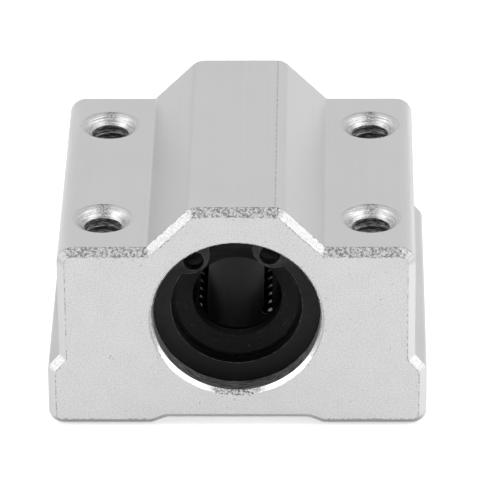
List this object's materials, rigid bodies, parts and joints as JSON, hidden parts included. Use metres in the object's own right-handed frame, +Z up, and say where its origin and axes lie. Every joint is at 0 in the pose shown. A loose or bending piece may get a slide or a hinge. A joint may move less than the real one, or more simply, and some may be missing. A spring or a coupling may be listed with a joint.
{
  "type": "linear bearing block",
  "caption": "Aluminium block with a raised middle and tapped shoulders that holds a recirculating ball bushing for a round shaft between two circlips.",
  "frame": {"origin": "middle of the base, under the shaft's centre line", "axes": "+Z up from the base, +Y along the shaft to the rear, -Y is the face seen in front, +X to its right"},
  "size_m": [0.034, 0.03, 0.022],
  "materials": {
    "housing": "satin",
    "circlip": "phosphated",
    "sleeve": "ground",
    "cage": "moulded",
    "balls": "polished",
    "seal": "moulded",
    "stop_ring": "stamped"
  },
  "bodies": {
    "block": {"housing": "housing", "front_circlip": "circlip", "rear_circlip": "circlip", "bearing_sleeve": "sleeve", "ball_cage": "cage", "front_seal": "seal", "rear_seal": "seal", "front_stop_ring": "stop_ring", "rear_stop_ring": "stop_ring"},
    "upper_right_load": {"upper_right_load_balls": "balls"},
    "upper_right_return": {"upper_right_return_balls": "balls"},
    "upper_right_front_turn": {"upper_right_front_turn_balls": "balls"},
    "upper_right_rear_turn": {"upper_right_rear_turn_balls": "balls"},
    "upper_left_load": {"upper_left_load_balls": "balls"},
    "upper_left_return": {"upper_left_return_balls": "balls"},
    "upper_left_front_turn": {"upper_left_front_turn_balls": "balls"},
    "upper_left_rear_turn": {"upper_left_rear_turn_balls": "balls"},
    "lower_left_load": {"lower_left_load_balls": "balls"},
    "lower_left_return": {"lower_left_return_balls": "balls"},
    "lower_left_front_turn": {"lower_left_front_turn_balls": "balls"},
    "lower_left_rear_turn": {"lower_left_rear_turn_balls": "balls"},
    "lower_right_load": {"lower_right_load_balls": "balls"},
    "lower_right_return": {"lower_right_return_balls": "balls"},
    "lower_right_front_turn": {"lower_right_front_turn_balls": "balls"},
    "lower_right_rear_turn": {"lower_right_rear_turn_balls": "balls"}
  },
  "joints": [
    {"name": "upper_right_load_slide", "type": "slide", "parent": "block", "child": "upper_right_load", "axis": [0, -1, 0], "range_m": [0, 0.00153]},
    {"name": "upper_right_return_slide", "type": "slide", "parent": "block", "child": "upper_right_return", "axis": [0, 1, 0], "range_m": [0, 0.00153]},
    {"name": "upper_right_front_turn_hinge", "type": "hinge", "parent": "block", "child": "upper_right_front_turn", "pos_m": [0.00314, -0.00688, 0.01501], "axis": [-0.8829, 0, -0.4695], "range_deg": [0, 90]},
    {"name": "upper_right_rear_turn_hinge", "type": "hinge", "parent": "block", "child": "upper_right_rear_turn", "pos_m": [0.00314, 0.00688, 0.01501], "axis": [-0.8829, 0, -0.4695], "range_deg": [0, 90]},
    {"name": "upper_left_load_slide", "type": "slide", "parent": "block", "child": "upper_left_load", "axis": [0, -1, 0], "range_m": [0, 0.00153]},
    {"name": "upper_left_return_slide", "type": "slide", "parent": "block", "child": "upper_left_return", "axis": [0, 1, 0], "range_m": [0, 0.00153]},
    {"name": "upper_left_front_turn_hinge", "type": "hinge", "parent": "block", "child": "upper_left_front_turn", "pos_m": [-0.00401, -0.00688, 0.01414], "axis": [0.4695, 0, -0.8829], "range_deg": [0, 90]},
    {"name": "upper_left_rear_turn_hinge", "type": "hinge", "parent": "block", "child": "upper_left_rear_turn", "pos_m": [-0.00401, 0.00688, 0.01414], "axis": [0.4695, 0, -0.8829], "range_deg": [0, 90]},
    {"name": "lower_left_load_slide", "type": "slide", "parent": "block", "child": "lower_left_load", "axis": [0, -1, 0], "range_m": [0, 0.00153]},
    {"name": "lower_left_return_slide", "type": "slide", "parent": "block", "child": "lower_left_return", "axis": [0, 1, 0], "range_m": [0, 0.00153]},
    {"name": "lower_left_front_turn_hinge", "type": "hinge", "parent": "block", "child": "lower_left_front_turn", "pos_m": [-0.00314, -0.00688, 0.00699], "axis": [0.8829, 0, 0.4695], "range_deg": [0, 90]},
    {"name": "lower_left_rear_turn_hinge", "type": "hinge", "parent": "block", "child": "lower_left_rear_turn", "pos_m": [-0.00314, 0.00688, 0.00699], "axis": [0.8829, 0, 0.4695], "range_deg": [0, 90]},
    {"name": "lower_right_load_slide", "type": "slide", "parent": "block", "child": "lower_right_load", "axis": [0, -1, 0], "range_m": [0, 0.00153]},
    {"name": "lower_right_return_slide", "type": "slide", "parent": "block", "child": "lower_right_return", "axis": [0, 1, 0], "range_m": [0, 0.00153]},
    {"name": "lower_right_front_turn_hinge", "type": "hinge", "parent": "block", "child": "lower_right_front_turn", "pos_m": [0.00401, -0.00688, 0.00786], "axis": [-0.4695, 0, 0.8829], "range_deg": [0, 90]},
    {"name": "lower_right_rear_turn_hinge", "type": "hinge", "parent": "block", "child": "lower_right_rear_turn", "pos_m": [0.00401, 0.00688, 0.00786], "axis": [-0.4695, 0, 0.8829], "range_deg": [0, 90]}
  ],
  "couplings": [
    {"joint": "upper_right_return_slide", "follows": "upper_right_load_slide", "ratio": 1},
    {"joint": "upper_right_front_turn_hinge", "follows": "upper_right_load_slide", "rad_per_m": 1026.7},
    {"joint": "upper_right_rear_turn_hinge", "follows": "upper_right_load_slide", "rad_per_m": 1026.7},
    {"joint": "upper_left_return_slide", "follows": "upper_left_load_slide", "ratio": 1},
    {"joint": "upper_left_front_turn_hinge", "follows": "upper_left_load_slide", "rad_per_m": 1026.7},
    {"joint": "upper_left_rear_turn_hinge", "follows": "upper_left_load_slide", "rad_per_m": 1026.7},
    {"joint": "lower_left_return_slide", "follows": "lower_left_load_slide", "ratio": 1},
    {"joint": "lower_left_front_turn_hinge", "follows": "lower_left_load_slide", "rad_per_m": 1026.7},
    {"joint": "lower_left_rear_turn_hinge", "follows": "lower_left_load_slide", "rad_per_m": 1026.7},
    {"joint": "lower_right_return_slide", "follows": "lower_right_load_slide", "ratio": 1},
    {"joint": "lower_right_front_turn_hinge", "follows": "lower_right_load_slide", "rad_per_m": 1026.7},
    {"joint": "lower_right_rear_turn_hinge", "follows": "lower_right_load_slide", "rad_per_m": 1026.7}
  ]
}
